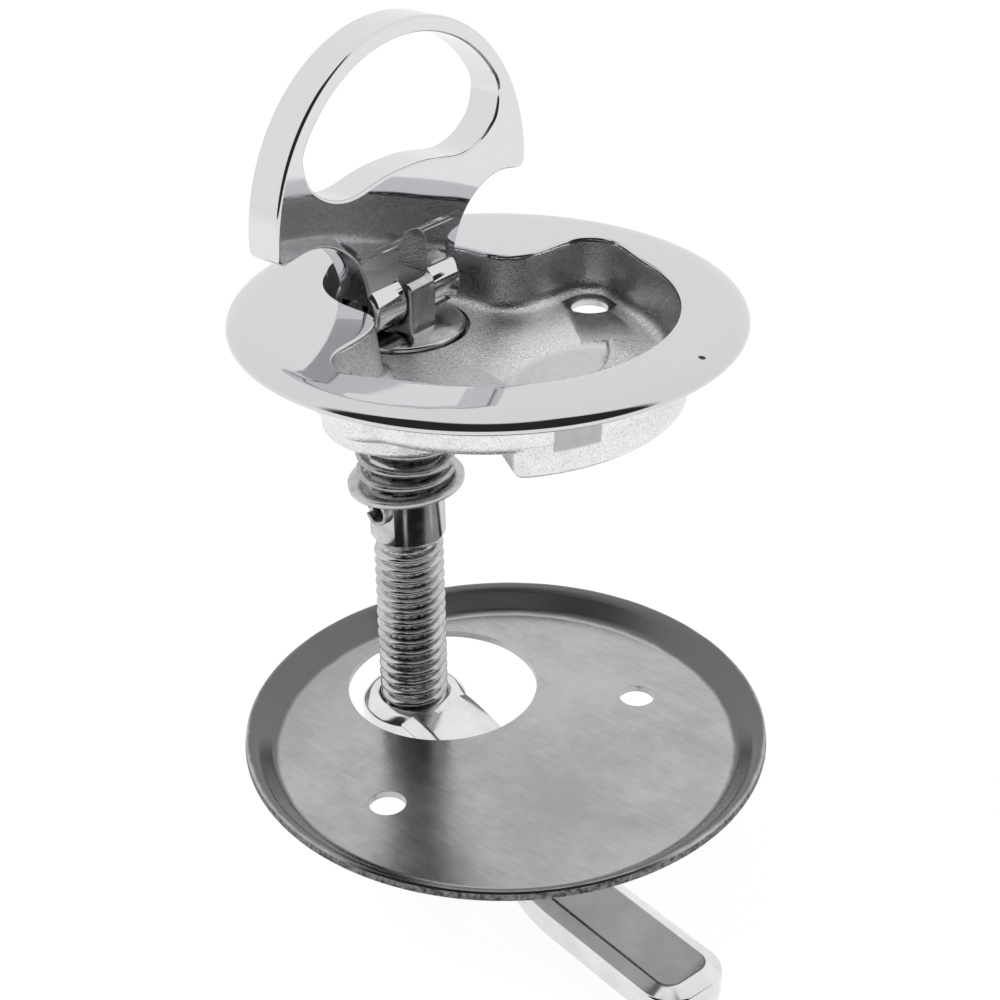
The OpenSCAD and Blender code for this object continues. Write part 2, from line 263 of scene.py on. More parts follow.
def add(tree, kind, **values):
    node = tree.nodes.new(kind)
    for key, value in values.items():
        if key in node.inputs:
            node.inputs[key].default_value = value
        else:
            setattr(node, key, value)
    return node


def noise(tree, place, scale, detail=3.0, roughness=0.55, distortion=0.0):
    node = add(tree, "ShaderNodeTexNoise", Scale=scale, Detail=detail, Roughness=roughness, Distortion=distortion)
    tree.links.new(place, node.inputs["Vector"])
    return node.outputs["Fac"]


def between(tree, value, low, high, first=0.0, last=1.0):
    node = tree.nodes.new("ShaderNodeMapRange")
    node.interpolation_type = "SMOOTHSTEP"
    tree.links.new(value, node.inputs["Value"])
    for key, number in (("From Min", low), ("From Max", high), ("To Min", first), ("To Max", last)):
        node.inputs[key].default_value = number
    return node.outputs["Result"]


def sum_of(tree, operation, first, second):
    node = tree.nodes.new("ShaderNodeMath")
    node.operation = operation
    for socket, value in zip(node.inputs, (first, second)):
        if isinstance(value, (int, float)):
            socket.default_value = value
        else:
            tree.links.new(value, socket)
    return node.outputs["Value"]


def blend_of(tree, mask, first, second):
    node = tree.nodes.new("ShaderNodeMix")
    node.data_type = "RGBA"
    tree.links.new(mask, node.inputs["Factor"])
    for socket, value in ((node.inputs["A"], first), (node.inputs["B"], second)):
        if isinstance(value, tuple):
            socket.default_value = value + (1,)
        else:
            tree.links.new(value, socket)
    return node.outputs["Result"]


def bumped(tree, height, strength, distance, before=None):
    node = add(tree, "ShaderNodeBump", Strength=strength, Distance=distance)
    tree.links.new(height, node.inputs["Height"])
    if before:
        tree.links.new(before, node.inputs["Normal"])
    return node.outputs["Normal"]


def metal(name, colour, roughness):
    material = bpy.data.materials.new(name)
    material.use_nodes = True
    tree = material.node_tree
    shader = tree.nodes["Principled BSDF"]
    shader.inputs["Metallic"].default_value = 1.0
    shader.inputs["Base Color"].default_value = colour + (1,)
    shader.inputs["Roughness"].default_value = roughness
    place = tree.nodes.new("ShaderNodeTexCoord").outputs["Object"]
    return material, tree, shader, place


# Cast grain: the pebbled skin that the ceramic mould leaves, with a few deeper pits
grain, grain_in, grain_out = output_group(
    "cast_grain", [("Height", "NodeSocketFloat"), ("Shade", "NodeSocketFloat")])
pebble = noise(grain, grain_in.outputs[0], 3600, 2, 0.5)
pits = between(grain, noise(grain, grain_in.outputs[0], 2400, 2, 0.5), 0.58, 0.75)
height = sum_of(grain, "SUBTRACT", pebble, sum_of(grain, "MULTIPLY", pits, 0.15))
grain.links.new(height, grain_out.inputs["Height"])
grain.links.new(between(grain, height, 0.15, 0.6), grain_out.inputs["Shade"])

# Polish: hardly visible waves and haze that a polishing wheel leaves
polish, polish_in, polish_out = output_group(
    "wheel_polish", [("Haze", "NodeSocketFloat"), ("Height", "NodeSocketFloat")])
polish.links.new(between(polish, noise(polish, polish_in.outputs[0], 75, 4, 0.6), 0.35, 0.75),
                 polish_out.inputs["Haze"])
polish.links.new(noise(polish, polish_in.outputs[0], 55, 2, 0.4), polish_out.inputs["Height"])


def use_group(tree, group, place):
    node = tree.nodes.new("ShaderNodeGroup")
    node.node_tree = group
    tree.links.new(place, node.inputs[0])
    return node


face_metal, tree, shader, place = metal("polished_face_cast_recess", (0.64, 0.635, 0.65), 0.05)
axes = tree.nodes.new("ShaderNodeSeparateXYZ")
tree.links.new(place, axes.inputs[0])
ragged = noise(tree, place, 420, 3, 0.6)
level = sum_of(tree, "ADD", axes.outputs["Z"], sum_of(tree, "MULTIPLY", ragged, 0.0005))
from_axis = add(tree, "ShaderNodeVectorMath", operation="LENGTH")
flat = tree.nodes.new("ShaderNodeCombineXYZ")
tree.links.new(axes.outputs["X"], flat.inputs["X"])
tree.links.new(axes.outputs["Y"], flat.inputs["Y"])
tree.links.new(flat.outputs[0], from_axis.inputs[0])
at_rim = between(tree, from_axis.outputs["Value"], 0.0345, 0.0355)
wheel = sum_of(tree, "MAXIMUM", between(tree, level, 0.0115, 0.0119), at_rim)
rough = use_group(tree, grain, place)
smooth = use_group(tree, polish, place)
recess_colour = blend_of(tree, rough.outputs["Shade"], (0.38, 0.375, 0.38), (0.78, 0.77, 0.78))
# The scoop floor is painted an even, lighter grey: painted light, standing for the light that its slope catches.
scoop_painted_light = between(tree, axes.outputs["Z"], 0.0033, 0.0030)
recess_colour = blend_of(tree, scoop_painted_light, recess_colour, (0.66, 0.65, 0.66))
shine = between(tree, smooth.outputs["Haze"], 0, 1, 0.035, 0.075)
rough_part = sum_of(tree, "MULTIPLY", sum_of(tree, "SUBTRACT", 1.0, wheel), 0.22)
tree.links.new(sum_of(tree, "ADD", shine, rough_part), shader.inputs["Roughness"])
grain_height = sum_of(tree, "MULTIPLY", rough.outputs["Height"], sum_of(tree, "SUBTRACT", 1.0, wheel))
normal = bumped(tree, grain_height, 0.8, 0.00012)
tree.links.new(bumped(tree, smooth.outputs["Height"], 0.05, 0.0004, normal), shader.inputs["Normal"])
spot = add(tree, "ShaderNodeVectorMath", operation="DISTANCE")
tree.links.new(place, spot.inputs[0])
spot.inputs[1].default_value = (0.03498, 0.00326, 0.01195)
ragged_spot = sum_of(tree, "ADD", spot.outputs["Value"], sum_of(tree, "MULTIPLY", ragged, 0.0006))
pit = between(tree, ragged_spot, 0.00085, 0.0007)
tree.links.new(blend_of(tree, pit, blend_of(tree, wheel, recess_colour, (0.64, 0.635, 0.65)), (0.02, 0.02, 0.02)),
               shader.inputs["Base Color"])

cup_metal, tree, shader, place = metal("cast_cup", (0.8, 0.8, 0.81), 0.3)
rough = use_group(tree, grain, place)
coarse = noise(tree, place, 260, 3, 0.6)
tree.links.new(between(tree, coarse, 0.3, 0.7, 0.2, 0.42), shader.inputs["Roughness"])
axes = tree.nodes.new("ShaderNodeSeparateXYZ")
tree.links.new(place, axes.inputs[0])
aside = sum_of(tree, "ADD", sum_of(tree, "MULTIPLY", axes.outputs["X"], 0.438),
               sum_of(tree, "MULTIPLY", axes.outputs["Y"], 0.899))
aside = sum_of(tree, "ABSOLUTE", aside, 0.0)
ground = sum_of(tree, "MULTIPLY", between(tree, aside, 0.0037, 0.0035),
                sum_of(tree, "MULTIPLY", between(tree, axes.outputs["X"], 0.0, 0.001),
                       sum_of(tree, "MULTIPLY", between(tree, axes.outputs["Z"], 0.0018, 0.0023),
                              between(tree, axes.outputs["Z"], 0.0056, 0.0052))))
skin = blend_of(tree, rough.outputs["Shade"], (0.58, 0.58, 0.59), (0.84, 0.84, 0.85))
tree.links.new(blend_of(tree, ground, skin, (0.46, 0.45, 0.45)), shader.inputs["Base Color"])
cast = sum_of(tree, "SUBTRACT", 1.0, ground)
normal = bumped(tree, sum_of(tree, "MULTIPLY", rough.outputs["Height"], cast), 0.6, 0.00014)
tree.links.new(bumped(tree, coarse, 0.2, 0.0006, normal), shader.inputs["Normal"])

flange.data.materials.clear()
flange.data.materials.append(face_metal)
flange.data.materials.append(cup_metal)
for face in flange.data.polygons:
    centre = face.center
    out = math.hypot(centre.x, centre.y)
    below = centre.z < -0.0001 or (centre.z < 0.0097 and out > 0.0282 and face.normal.z < 0.3)
    face.material_index = 1 if below or (face.normal.z < -0.5 and centre.z < 0.0006) else 0
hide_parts("flange_body")
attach(flange, "base")

# Handle: a ring pull cast in one piece, polished all over, with a bean-shaped finger hole.
# Two concave necks lead down to a foot that is slotted for the spindle's tongue.
pin_z = -0.6
ring_z = 14.7
handle_edge = 0.45


def flat_blank(name, outlines, thickness, rounding):
    curve = bpy.data.curves.new(name, "CURVE")
    curve.dimensions = "2D"
    curve.fill_mode = "BOTH"
    for outline in outlines:
        line = curve.splines.new("POLY")
        line.points.add(len(outline) - 1)
        for point, (x, y) in zip(line.points, outline):
            point.co = (x, y, 0, 1)
        line.use_cyclic_u = True
    curve.extrude = thickness / 2 - rounding
    curve.bevel_depth = rounding
    curve.bevel_resolution = 5
    curve.offset = -rounding
    blank = bpy.data.objects.new(name, curve)
    bpy.context.collection.objects.link(blank)
    only(blank)
    bpy.ops.object.convert(target="MESH")
    bpy.ops.object.mode_set(mode="EDIT")
    bpy.ops.mesh.select_all(action="SELECT")
    bpy.ops.mesh.remove_doubles(threshold=0.002)
    bpy.ops.mesh.normals_make_consistent(inside=False)
    bpy.ops.object.mode_set(mode="OBJECT")
    return bpy.context.object


half = on_circle((0, ring_z), 26.8, 90, -1, 80)
half += through([(26.75, 14.1), (26.3, 13.3), (25.3, 12.95), (22.2, 13.5)], 6)[1:]
half += on_circle((21.2, 1.9), 11.7, 92, 180, 30) + [(9.5, 1.5), (9.5, 0), (4, 0), (0, 0)]
outline = half + [(-y, z) for y, z in reversed(half[1:-1])]
side = on_circle((0, ring_z), 24.4, 90, 36, 40)
side += through([(20.0, 28.7), (20.8, 26.4), (20, 23), (18.4, 21.2), (16, 19.7), (13, 18.9), (10, 19), (7, 19.6),
                 (3.5, 20.1), (0, 20.2)], 8)
finger_hole = side + [(-y, z) for y, z in reversed(side[1:-1])]
handle = flat_blank("handle_blank", [evenly(outline, 420), softened(evenly(finger_hole, 300), 3)], 6, handle_edge)
stand = Matrix(((0, 0, 1, spindle_x), (1, 0, 0, 0), (0, 1, 0, pin_z), (0, 0, 0, 1)))
handle.data.transform(stand)


def across(radius, length, z=pin_z, rounding=0.0):
    bpy.ops.object.select_all(action="DESELECT")
    bpy.ops.mesh.primitive_cylinder_add(vertices=64, radius=radius, depth=length, location=(spindle_x, 0, z),
                                        rotation=(math.pi / 2, 0, 0))
    bpy.ops.object.transform_apply(location=True, rotation=True, scale=True)
    bar = bpy.context.object
    if rounding:
        bpy.ops.object.modifier_add(type="BEVEL")
        bar.modifiers[-1].width = rounding
        bar.modifiers[-1].segments = 4
        bar.modifiers[-1].angle_limit = math.radians(50)
        bpy.ops.object.modifier_apply(modifier=bar.modifiers[-1].name)
    return bar


def block(low, high):
    bpy.ops.object.select_all(action="DESELECT")
    bpy.ops.mesh.primitive_cube_add(size=1, location=[(a + b) / 2 for a, b in zip(low, high)],
                                    scale=[b - a for a, b in zip(low, high)])
    bpy.ops.object.transform_apply(location=True, rotation=True, scale=True)
    return bpy.context.object


cut_by(handle, across(4.5, 19, rounding=0.8), "UNION")
cut_by(handle, block((spindle_x - 9, -3.15, -12), (spindle_x + 9, 3.15, pin_z + 7.3)))
bpy.ops.object.select_all(action="DESELECT")
bpy.ops.mesh.primitive_cylinder_add(vertices=48, radius=3.15, depth=18, location=(spindle_x, 0, pin_z + 7.3),
                                    rotation=(0, math.pi / 2, 0))
bpy.ops.object.transform_apply(location=True, rotation=True, scale=True)
cut_by(handle, bpy.context.object)
cut_by(handle, across(1.66, 24))
only(handle)
bpy.ops.object.modifier_add(type="BEVEL")
handle.modifiers[-1].width = 0.25
handle.modifiers[-1].segments = 2
handle.modifiers[-1].angle_limit = math.radians(55)
bpy.ops.object.modifier_apply(modifier=handle.modifiers[-1].name)
bpy.ops.object.shade_smooth_by_angle(angle=math.radians(38))
bpy.ops.object.modifier_add(type="WEIGHTED_NORMAL")
handle.modifiers[-1].keep_sharp = True
handle.modifiers[-1].weight = 60
bpy.ops.object.modifier_apply(modifier=handle.modifiers[-1].name)
to_metres(handle, "ring_handle")

ring_metal, tree, shader, place = metal("polished_ring", (0.70, 0.69, 0.71), 0.05)
smooth = use_group(tree, polish, place)
axes = tree.nodes.new("ShaderNodeSeparateXYZ")
tree.links.new(place, axes.inputs[0])
above_legs = sum_of(tree, "MAXIMUM", sum_of(tree, "SUBTRACT", axes.outputs["Z"], 0.0163), 0.0)
in_slot = tree.nodes.new("ShaderNodeCombineXYZ")
tree.links.new(axes.outputs["Y"], in_slot.inputs["Y"])
tree.links.new(above_legs, in_slot.inputs["Z"])
from_slot = add(tree, "ShaderNodeVectorMath", operation="LENGTH")
tree.links.new(in_slot.outputs[0], from_slot.inputs[0])
raw = between(tree, from_slot.outputs["Value"], 0.00325, 0.0032)
rough = use_group(tree, grain, place)
shine = between(tree, smooth.outputs["Haze"], 0, 1, 0.03, 0.07)
tree.links.new(sum_of(tree, "ADD", shine, sum_of(tree, "MULTIPLY", raw, 0.3)), shader.inputs["Roughness"])
tree.links.new(blend_of(tree, raw, (0.70, 0.69, 0.71), (0.4, 0.4, 0.41)), shader.inputs["Base Color"])
normal = bumped(tree, sum_of(tree, "MULTIPLY", rough.outputs["Height"], raw), 0.9, 0.0004)
tree.links.new(bumped(tree, smooth.outputs["Height"], 0.06, 0.0005, normal), shader.inputs["Normal"])
handle.data.materials.clear()
handle.data.materials.append(ring_metal)
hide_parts("handle")
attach(handle, "pull")

# Hinge pin: a plain turned pin pressed through the spindle's tongue. Its ends lie flush in the foot's legs.
pin = across(1.6, 18.6, rounding=0.3)
only(pin)
bpy.ops.object.shade_smooth_by_angle(angle=math.radians(38))
to_metres(pin, "fold_pin")
pin_metal, tree, shader, place = metal("turned_pin", (0.6, 0.6, 0.61), 0.25)
scratch = add(tree, "ShaderNodeMapping", Scale=(1, 0.02, 1))
tree.links.new(place, scratch.inputs["Vector"])
marks = noise(tree, scratch.outputs["Vector"], 2600, 2, 0.6)
tree.links.new(between(tree, marks, 0.3, 0.7, 0.18, 0.34), shader.inputs["Roughness"])
tree.links.new(bumped(tree, marks, 0.15, 0.0001), shader.inputs["Normal"])
pin.data.materials.append(pin_metal)
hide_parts("hinge_pin")
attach(pin, "turning")

# Spindle: turned from bar and milled at its head to a tongue for the hinge. Below the smooth shank and
# a run-out groove comes a coarse right-hand thread, cut to the end.


def lathe(name, profile, place):
    mesh = bpy.data.meshes.new(name)
    mesh.from_pydata([(radius, 0, z) for radius, z in profile], [(i, i + 1) for i in range(len(profile) - 1)], [])
    piece = bpy.data.objects.new(name, mesh)
    bpy.context.collection.objects.link(piece)
    only(piece)
    bpy.ops.object.mode_set(mode="EDIT")
    bpy.ops.mesh.select_all(action="SELECT")
    bpy.ops.mesh.spin(steps=96, angle=2 * math.pi, center=(0, 0, 0), axis=(0, 0, 1))
    bpy.ops.mesh.select_all(action="SELECT")
    bpy.ops.mesh.remove_doubles(threshold=0.001)
    bpy.ops.mesh.normals_make_consistent(inside=False)
    bpy.ops.object.mode_set(mode="OBJECT")
    piece.data.transform(Matrix.Translation((place[0], place[1], 0)))
    return piece


spindle = lathe("spindle_blank", [(0, -5.6), (9.6, -5.6), (9.85, -5.7), (10, -5.95), (10, -8.1), (6.1, -8.1),
                                  (6.1, -41.9), (5.9, -42.3), (4.75, -42.35), (4.65, -42.6), (4.65, -43.6),
                                  (0, -43.6)], (spindle_x, 0))
section = [(-5, -8), (5, -8)] + on_circle((3.6, pin_z + 1.7), 1.4, 0, 90, 6)
section += on_circle((-3.6, pin_z + 1.7), 1.4, 90, 180, 6) + [(-5, pin_z + 1.7)]
tongue = shell("tongue", [[(spindle_x + x, y, z) for x, z in section] for y in (-2.8, 2.8)])
only(tongue)
bpy.ops.object.modifier_add(type="BEVEL")
tongue.modifiers[-1].width = 0.4
tongue.modifiers[-1].segments = 3
tongue.modifiers[-1].angle_limit = math.radians(50)
bpy.ops.object.modifier_apply(modifier=tongue.modifiers[-1].name)
cut_by(spindle, tongue, "UNION")
cut_by(spindle, across(1.6, 12))
cut_by(spindle, across(2.2, 16, z=-36))
only(spindle)
bpy.ops.object.modifier_add(type="BEVEL")
spindle.modifiers[-1].width = 0.15
spindle.modifiers[-1].segments = 2
spindle.modifiers[-1].angle_limit = math.radians(60)
bpy.ops.object.modifier_apply(modifier=spindle.modifiers[-1].name)

pitch = 2.0
thread_top, thread_end = -43.4, -85.2


def flank(turn):
    turn = turn % 1.0
    return math.sin(math.pi * (turn - 0.18) / 0.82) ** 0.8 if turn > 0.18 else 0.0


loops = []
rows = 420
for row in range(rows + 1):
    z = thread_top + (thread_end - thread_top) * row / rows
    most = min(5.7, 4.65 + max(0.0, thread_top - z) * 1.1, 4.55 + (z - thread_end) * 1.0)
    loop = []
    for k in range(64):
        a = 2 * math.pi * k / 64
        height = flank(z / pitch - k / 64)
        radius = min(4.6 + 1.1 * height, max(most, 4.5))
        loop.append((spindle_x + radius * math.cos(a), radius * math.sin(a), z))
    loops.append(loop)
thread = shell("thread_turns", loops)
only(thread)
spindle.select_set(True)
bpy.context.view_layer.objects.active = spindle
bpy.ops.object.join()
only(spindle)
bpy.ops.object.shade_smooth_by_angle(angle=math.radians(42))
to_metres(spindle, "pull_spindle")

spindle_metal, tree, shader, place = metal("turned_spindle", (0.68, 0.67, 0.68), 0.18)
rings = add(tree, "ShaderNodeMapping", Scale=(0.03, 0.03, 1))
tree.links.new(place, rings.inputs["Vector"])
marks = noise(tree, rings.outputs["Vector"], 5200, 2, 0.6)
stain = noise(tree, place, 230, 4, 0.65)
tree.links.new(blend_of(tree, between(tree, stain, 0.3, 0.72), (0.44, 0.43, 0.43), (0.62, 0.61, 0.62)),
               shader.inputs["Base Color"])
tree.links.new(between(tree, stain, 0.25, 0.75, 0.12, 0.22), shader.inputs["Roughness"])
normal = bumped(tree, marks, 0.05, 0.0001)
tree.links.new(bumped(tree, stain, 0.05, 0.0003, normal), shader.inputs["Normal"])
spindle.data.materials.clear()
spindle.data.materials.append(spindle_metal)
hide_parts("spindle")
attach(spindle, "turning")

# Seal ring: a moulded rubber ring in the boss's groove, hidden when the latch is together.
rubber = bpy.data.materials.new("black_rubber")
rubber.use_nodes = True
tree = rubber.node_tree
shader = tree.nodes["Principled BSDF"]
shader.inputs["Base Color"].default_value = (0.02, 0.02, 0.02, 1)
place = tree.nodes.new("ShaderNodeTexCoord").outputs["Object"]
dust = noise(tree, place, 900, 3, 0.6)
tree.links.new(between(tree, dust, 0.3, 0.7, 0.55, 0.8), shader.inputs["Roughness"])
tree.links.new(bumped(tree, dust, 0.2, 0.0001), shader.inputs["Normal"])
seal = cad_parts["seal_ring"]
seal.data.materials.clear()
seal.data.materials.append(rubber)

# Spring: a short compression spring of drawn wire between the boss and the washer. Both ends are closed,
# and the lower coils lean with the washer that they press on.
wire = 0.65
coil_r = 7.25
coil_top = -23.3
coil_low = -31.45
lean_turn = math.radians(40)


def lean(x, y):
    return math.tan(math.radians(4)) * (math.cos(lean_turn) * x + math.sin(lean_turn) * y)


line = []
for k in range(163):
    u = k / 162
    a = math.radians(300 + 360 * 3.5 * u)
    x, y = coil_r * math.cos(a), coil_r * math.sin(a)
    closed = 0.75 / 3.5
    rise = 2 * wire * 0.8
    if u < closed:
        z = coil_top - rise * u / closed
    elif u > 1 - closed:
        z = coil_low + rise * (1 - u) / closed
    else:
        z = coil_top - rise - (coil_top - coil_low - 2 * rise) * (u - closed) / (1 - 2 * closed)
    line.append((x + spindle_x, y, z + lean(x, y) * u * u))
curve = bpy.data.curves.new("coil", "CURVE")
curve.dimensions = "3D"
path = curve.splines.new("POLY")
path.points.add(len(line) - 1)
for point, spot in zip(path.points, line):
    point.co = spot + (1,)
curve.bevel_depth = wire
curve.bevel_resolution = 3
curve.use_fill_caps = True
spring = bpy.data.objects.new("coil", curve)
bpy.context.collection.objects.link(spring)
only(spring)
bpy.ops.object.convert(target="MESH")
spring = bpy.context.object
bpy.ops.object.shade_smooth_by_angle(angle=math.radians(60))
to_metres(spring, "coil_spring")

wire_metal, tree, shader, place = metal("drawn_wire", (0.42, 0.41, 0.41), 0.28)
drawn = add(tree, "ShaderNodeMapping", Scale=(0.15, 0.15, 1))
tree.links.new(place, drawn.inputs["Vector"])
marks = noise(tree, drawn.outputs["Vector"], 4200, 2, 0.6)
tree.links.new(blend_of(tree, between(tree, marks, 0.3, 0.7), (0.30, 0.29, 0.29), (0.52, 0.51, 0.51)),
               shader.inputs["Base Color"])
tree.links.new(between(tree, marks, 0.3, 0.7, 0.2, 0.36), shader.inputs["Roughness"])
tree.links.new(bumped(tree, marks, 0.2, 0.0001), shader.inputs["Normal"])
spring.data.materials.clear()
spring.data.materials.append(wire_metal)
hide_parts("spring")
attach(spring, "turning")

# Spring washer: a flat washer punched from sheet, held up by the cross pin. It sits a little askew,
# with its far side higher, because the pin carries it at two places only.
washer = lathe("washer_blank", [(6.5, -0.45), (6.55, -0.6), (9.1, -0.6), (9.3, -0.5), (9.35, -0.3), (9.35, 0.35),
                                (9.2, 0.55), (9.0, 0.6), (6.7, 0.6), (6.5, 0.45), (6.5, -0.45)], (0, 0))
washer.data.transform(Matrix.Translation((spindle_x, 0, -32.75)) @ Matrix.Rotation(lean_turn, 4, "Z")
                      @ Matrix.Rotation(math.radians(-4), 4, "Y"))
only(washer)
bpy.ops.object.shade_smooth_by_angle(angle=math.radians(50))
to_metres(washer, "spring_washer_disc")

washer_metal, tree, shader, place = metal("washer_sheet", (0.5, 0.49, 0.5), 0.28)
stain = noise(tree, place, 380, 4, 0.6)
tree.links.new(blend_of(tree, between(tree, stain, 0.3, 0.7), (0.42, 0.41, 0.41), (0.6, 0.59, 0.6)),
               shader.inputs["Base Color"])
tree.links.new(between(tree, stain, 0.3, 0.7, 0.2, 0.36), shader.inputs["Roughness"])
tree.links.new(bumped(tree, stain, 0.12, 0.0002), shader.inputs["Normal"])
washer.data.materials.clear()
washer.data.materials.append(washer_metal)
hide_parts("spring_washer")
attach(washer, "turning")

# Cross pin: a rolled and slotted spring pin, driven through the shank below the washer.
# Its near end lies open, so that the slit and the hollow inside are seen in the hole.
section = on_circle((0, 0), 2.16, 195, 525, 44) + on_circle((0, 0), 1.5, 525, 195, 44)
pin = shell("roll_pin", [[(x, -7.3, z - 36) for x, z in section], [(x, 7.3, z - 36) for x, z in section]])
pin.data.transform(Matrix.Translation((spindle_x, 0, 0)))
only(pin)
bpy.ops.object.modifier_add(type="BEVEL")
pin.modifiers[-1].width = 0.12
pin.modifiers[-1].segments = 2
pin.modifiers[-1].angle_limit = math.radians(50)
bpy.ops.object.modifier_apply(modifier=pin.modifiers[-1].name)
bpy.ops.object.shade_smooth_by_angle(angle=math.radians(40))
to_metres(pin, "slotted_cross_pin")

roll_metal, tree, shader, place = metal("spring_pin_steel", (0.4, 0.4, 0.4), 0.34)
stain = noise(tree, place, 900, 4, 0.6)
tree.links.new(blend_of(tree, between(tree, stain, 0.3, 0.7), (0.2, 0.2, 0.2), (0.55, 0.55, 0.55)),
               shader.inputs["Base Color"])
tree.links.new(between(tree, stain, 0.3, 0.7, 0.24, 0.42), shader.inputs["Roughness"])
tree.links.new(bumped(tree, stain, 0.3, 0.0002), shader.inputs["Normal"])
pin.data.materials.clear()
pin.data.materials.append(roll_metal)
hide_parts("cross_pin")
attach(pin, "turning")

# Cam bar: cast and polished. A round threaded hub carries a flat bar with chamfered top edges that
# drops in a crank to a level end pad with rounded corners, the part that grips behind the frame.
arm_top = -75.0
reach = 70.0
drop = 14.6
outline = [(-2, -7), (reach - 5, -7)] + on_circle((reach - 5, -2), 5, -86, 0, 12)
outline += on_circle((reach - 5, 2), 5, 0, 90, 12) + [(reach - 5, 7), (-2, 7)]
bar = shell("bar_blank", [[(x, y, -5.4) for x, y in outline], [(x, y, 0) for x, y in outline]])
only(bar)
bpy.ops.object.mode_set(mode="EDIT")
bpy.ops.mesh.select_mode(type="FACE")
bpy.ops.mesh.select_all(action="DESELECT")
bpy.ops.object.mode_set(mode="OBJECT")
for face in bar.data.polygons:
    face.select = face.normal.z > 0.9
bpy.ops.object.mode_set(mode="EDIT")
bpy.ops.mesh.inset(thickness=2.4)
bpy.ops.transform.translate(value=(0, 0, 1.1))
bpy.ops.object.mode_set(mode="OBJECT")
bar.data.transform(Matrix.Translation((0, 0, -1.1)))
for vertex in bar.data.vertices:
    if vertex.co.z < -5.5:
        vertex.co.z = -5.4
only(bar)
bpy.ops.object.modifier_add(type="BEVEL")
bar.modifiers[-1].width = 0.35
bar.modifiers[-1].segments = 3
bar.modifiers[-1].angle_limit = math.radians(15)
bpy.ops.object.modifier_apply(modifier=bar.modifiers[-1].name)
bpy.ops.object.mode_set(mode="EDIT")
for x in [5.1 + 0.9 * k for k in range(17)] + [33.5 + 0.9 * k for k in range(11)]:
    bpy.ops.mesh.select_all(action="SELECT")
    bpy.ops.mesh.bisect(plane_co=(x, 0, 0), plane_no=(1, 0, 0))
bpy.ops.object.mode_set(mode="OBJECT")


def crank(x):
    total = 0.0
    for centre, bend in ((15, 1), (38, -1)):
        t = min(max((x - centre + 4.5) / 9, 0), 1)
        whole = max(x - centre - 4.5, 0)
        total += bend * (9 * t * t / 2 + whole)
    return -total * drop / 23


for vertex in bar.data.vertices:
    near = min(max((15 - vertex.co.x) / 10, 0), 1)
    lift = 1.15 * near * near * (3 - 2 * near) if vertex.co.z > -3 else 0
    vertex.co.z += arm_top + crank(vertex.co.x) + lift
bar.data.transform(Matrix.Rotation(math.radians(-11), 4, "Z"))
hub = lathe("hub_blank", [(5.75, -81.4), (6.0, -81.6), (8.5, -81.6), (8.9, -81.2), (8.9, -75.5), (8.8, -75.1),
                          (8.5, -74.7), (7.7, -74.05), (7.2, -73.78), (6.2, -73.6), (5.95, -73.7), (5.75, -74.0),
                          (5.75, -81.4)], (0, 0))
cut_by(bar, rod(5.9, -90, -60))
cut_by(hub, bar, "UNION")
bar = hub
bar.data.transform(Matrix.Translation((spindle_x, 0, 0)))
only(bar)
bpy.ops.object.shade_smooth_by_angle(angle=math.radians(32))
bpy.ops.object.modifier_add(type="WEIGHTED_NORMAL")
bar.modifiers[-1].keep_sharp = True
bpy.ops.object.modifier_apply(modifier=bar.modifiers[-1].name)
to_metres(bar, "cranked_cam_bar")

bar_metal, tree, shader, place = metal("polished_bar", (0.8, 0.79, 0.81), 0.08)
smooth = use_group(tree, polish, place)
dull = noise(tree, place, 140, 4, 0.65)
tree.links.new(blend_of(tree, between(tree, dull, 0.3, 0.7), (0.70, 0.69, 0.71), (0.82, 0.81, 0.83)),
               shader.inputs["Base Color"])
tree.links.new(between(tree, dull, 0.3, 0.75, 0.1, 0.2), shader.inputs["Roughness"])
tree.links.new(bumped(tree, smooth.outputs["Height"], 0.12, 0.0006), shader.inputs["Normal"])
bar.data.materials.clear()
bar.data.materials.append(bar_metal)
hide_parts("cam_bar")
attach(bar, "turning")

# Lock nut: a thin six-sided nut run up against the hub from below, with both rims chamfered.
nut = rod(17 / 2 / math.cos(math.radians(30)), -84.6, -81.62, (0, 0), 6)
cut_by(nut, lathe("nut_form", [(0, -84.7), (8.6, -84.7), (10.2, -83.9), (10.2, -82.3), (8.6, -81.5), (0, -81.5)],
                  (0, 0)), "INTERSECT")
cut_by(nut, rod(5.75, -90, -70))
nut.data.transform(Matrix.Translation((spindle_x, 0, 0)))
only(nut)
bpy.ops.object.modifier_add(type="BEVEL")
nut.modifiers[-1].width = 0.15
nut.modifiers[-1].segments = 2
bpy.ops.object.modifier_apply(modifier=nut.modifiers[-1].name)
bpy.ops.object.shade_smooth_by_angle(angle=math.radians(30))
to_metres(nut, "thin_lock_nut")
nut.data.materials.clear()
nut.data.materials.append(washer_metal)
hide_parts("lock_nut")
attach(nut, "turning")

# Back plate: a dished disc pressed from stainless sheet and left rubbed and mottled. It hangs loose round
# the hub, with its large spindle hole set to one side and two holes for the body screws.
profile = [(36.6, 0), (37.6, 0.2), (38.4, 0.7), (40.4, 2.7), (41.1, 3.2), (41.9, 3.55), (42.0, 3.75), (41.85, 4.7),
           (41.6, 4.95), (41.2, 4.9), (40.5, 4.6), (39.7, 3.95), (37.9, 2.0), (37.2, 1.45), (36.3, 1.2)]
plate = shell("plate_blank", [[(x, y, z) for x, y in on_circle((-3.2, 0), r, 0, 360, 180)] for r, z in profile])
cut_by(plate, rod(16, -2, 3, (-22, 0), 120))
for side in (-1, 1):
    cut_by(plate, rod(2.9, -2, 3, (0, side * screw_y), 64))
plate.data.transform(Matrix.Translation((6.4, -1.9, arm_top + 0.3)) @ Matrix.Rotation(math.radians(-15.9), 4, "Z"))
only(plate)
bpy.ops.object.modifier_add(type="BEVEL")
plate.modifiers[-1].width = 0.1
plate.modifiers[-1].segments = 2
